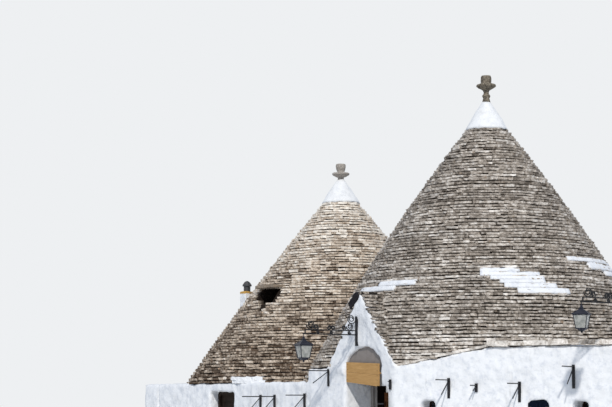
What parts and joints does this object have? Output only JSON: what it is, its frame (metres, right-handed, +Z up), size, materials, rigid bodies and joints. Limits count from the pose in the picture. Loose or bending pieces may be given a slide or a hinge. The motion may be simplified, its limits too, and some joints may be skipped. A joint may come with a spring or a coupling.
{
  "type": "trullo house",
  "caption": "Whitewashed drystone house with conical stone roofs over corbelled domes, a gabled arched entrance, hinged doors, iron lanterns and plain party walls at both ends.",
  "frame": {"origin": "on the underside of the large room's floor, on the axis of the large cone", "axes": "+X along the street facade to the right, +Y into the house, +Z up"},
  "size_m": [14.0105, 7.8885, 8.235],
  "materials": {
    "limewash": "thick limewash over rubble masonry",
    "dome_stone": "corbelled limestone blocks with thin limewash",
    "grey_roof_stone": "dry-laid split limestone with grey lichen",
    "warm_roof_stone": "dry-laid split limestone, warmer and cleaner",
    "cap_plaster": "smooth limewashed plaster",
    "dark_finial_stone": "turned limestone dark with lichen",
    "pale_finial_stone": "turned limestone, weathered pale",
    "floor_stone": "worn limestone flags",
    "grey_painted_wood": "pale grey paint, worn at the edges",
    "dark_door_wood": "dark brown oil stain",
    "board_wood": "bare orange-tan planks",
    "black_painted_wood": "near-black brown paint",
    "navy_painted_wood": "dark navy paint",
    "window_glass": "plain window glass",
    "frosted_glass": "frosted lantern glass",
    "wrought_iron": "forged iron, matt black paint",
    "cowl_metal": "dull galvanised sheet"
  },
  "bodies": {
    "house": {"left_party_wall": "limewash", "middle_front_wall_left": "limewash", "middle_door_lintel": "limewash", "middle_front_wall_right": "limewash", "middle_back_wall": "limewash", "shared_wall_front": "limewash", "shared_wall_back": "limewash", "passage_arch": "limewash", "entrance_wall_left": "limewash", "entrance_wall_right": "limewash", "window_wall_left": "limewash", "window_wall_right": "limewash", "right_party_wall": "limewash", "big_back_wall": "limewash", "gable_wall": "limewash", "gable_coping": "limewash", "impost_ledge": "limewash", "big_corner_slabs": "limewash", "middle_corner_slabs": "limewash", "chimney": "limewash", "big_dome": "dome_stone", "middle_dome": "dome_stone", "big_roof": "grey_roof_stone", "middle_roof": "warm_roof_stone", "vent_slab": "warm_roof_stone", "big_cap": "cap_plaster", "middle_cap": "cap_plaster", "big_finial": "dark_finial_stone", "middle_finial": "pale_finial_stone", "big_floor": "floor_stone", "middle_floor": "floor_stone", "door_sills": "floor_stone", "entrance_door_frame": "grey_painted_wood", "arch_panel": "grey_painted_wood", "middle_door_frame": "dark_door_wood", "window_frames": "dark_door_wood", "hanging_board": "board_wood", "folding_shutter": "black_painted_wood", "window_shutters": "navy_painted_wood", "window_panes": "window_glass", "lantern_glass": "frosted_glass", "lantern_brackets": "wrought_iron", "lantern_frames": "wrought_iron", "wire_brackets": "wrought_iron", "door_pintles": "wrought_iron", "chimney_cowl": "cowl_metal"},
    "entrance_door": {"entrance_door": "grey_painted_wood", "entrance_door_ironwork": "wrought_iron"},
    "middle_door": {"middle_door": "dark_door_wood", "middle_door_ironwork": "wrought_iron"}
  },
  "joints": [
    {"name": "entrance_door_hinge", "type": "hinge", "parent": "house", "child": "entrance_door", "pos_m": [-0.279, -2.552, 1], "axis": [0, 0, 1], "range_deg": [0, 90]},
    {"name": "middle_door_hinge", "type": "hinge", "parent": "house", "child": "middle_door", "pos_m": [-5.376, -2.932, 1], "axis": [0, 0, 1], "range_deg": [0, 90]}
  ]
}
